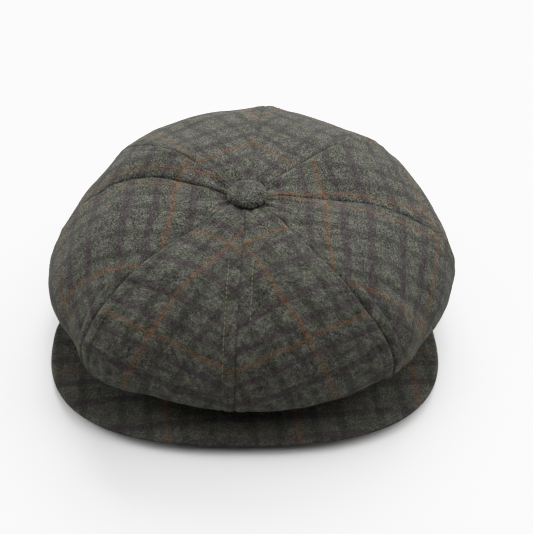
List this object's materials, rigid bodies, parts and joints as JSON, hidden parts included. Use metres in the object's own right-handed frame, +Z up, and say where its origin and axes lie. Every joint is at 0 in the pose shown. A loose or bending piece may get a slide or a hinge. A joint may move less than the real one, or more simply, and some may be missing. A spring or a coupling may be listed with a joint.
{
  "type": "newsboy cap",
  "caption": "Soft wool newsboy cap: a full gored crown with a covered button, a fabric band with a sweatband, a lining and a short stiff visor that swings up a little.",
  "frame": {"origin": "middle of the cap's bounding box on the plane the band stands on", "axes": "+Z up through the crown, -Y towards the visor's free edge, +X to the right of someone who faces the visor"},
  "size_m": [0.2692, 0.2746, 0.1024],
  "materials": {
    "crown_cloth": "brushed wool flannel in grey-green with soft aubergine stripes and a thin rust overcheck",
    "visor_cloth": "the same brushed wool check, pulled smooth over the board",
    "lining": "smooth satin lining",
    "buckram": "dark stiffened open-weave buckram",
    "sweatband": "ribbed grosgrain",
    "visor_board": "matte moulded board",
    "button_metal": "plain tinned steel",
    "label": "blank woven satin label"
  },
  "bodies": {
    "cap_body": {"crown_gore_front_right": "crown_cloth", "crown_gore_right_front": "crown_cloth", "crown_gore_right_back": "crown_cloth", "crown_gore_back_right": "crown_cloth", "crown_gore_back_left": "crown_cloth", "crown_gore_left_back": "crown_cloth", "crown_gore_left_front": "crown_cloth", "crown_gore_front_left": "crown_cloth", "lining_gore_front_right": "lining", "lining_gore_right_front": "lining", "lining_gore_right_back": "lining", "lining_gore_back_right": "lining", "lining_gore_back_left": "lining", "lining_gore_left_back": "lining", "lining_gore_left_front": "lining", "lining_gore_front_left": "lining", "headband": "crown_cloth", "band_stiffener": "buckram", "sweatband": "sweatband", "button_cover": "crown_cloth", "button_mould": "button_metal", "button_rivet": "button_metal", "button_washer": "button_metal", "inner_label": "label"},
    "visor": {"visor_top_cloth": "visor_cloth", "visor_board": "visor_board", "visor_under_cloth": "visor_cloth"}
  },
  "joints": [
    {"name": "visor_swing", "type": "hinge", "parent": "cap_body", "child": "visor", "pos_m": [-0.00404, -0.01034, 0.0125], "axis": [-1, 0, 0], "range_deg": [0, 7], "stiffness_Nm_per_rad": 0.6}
  ]
}
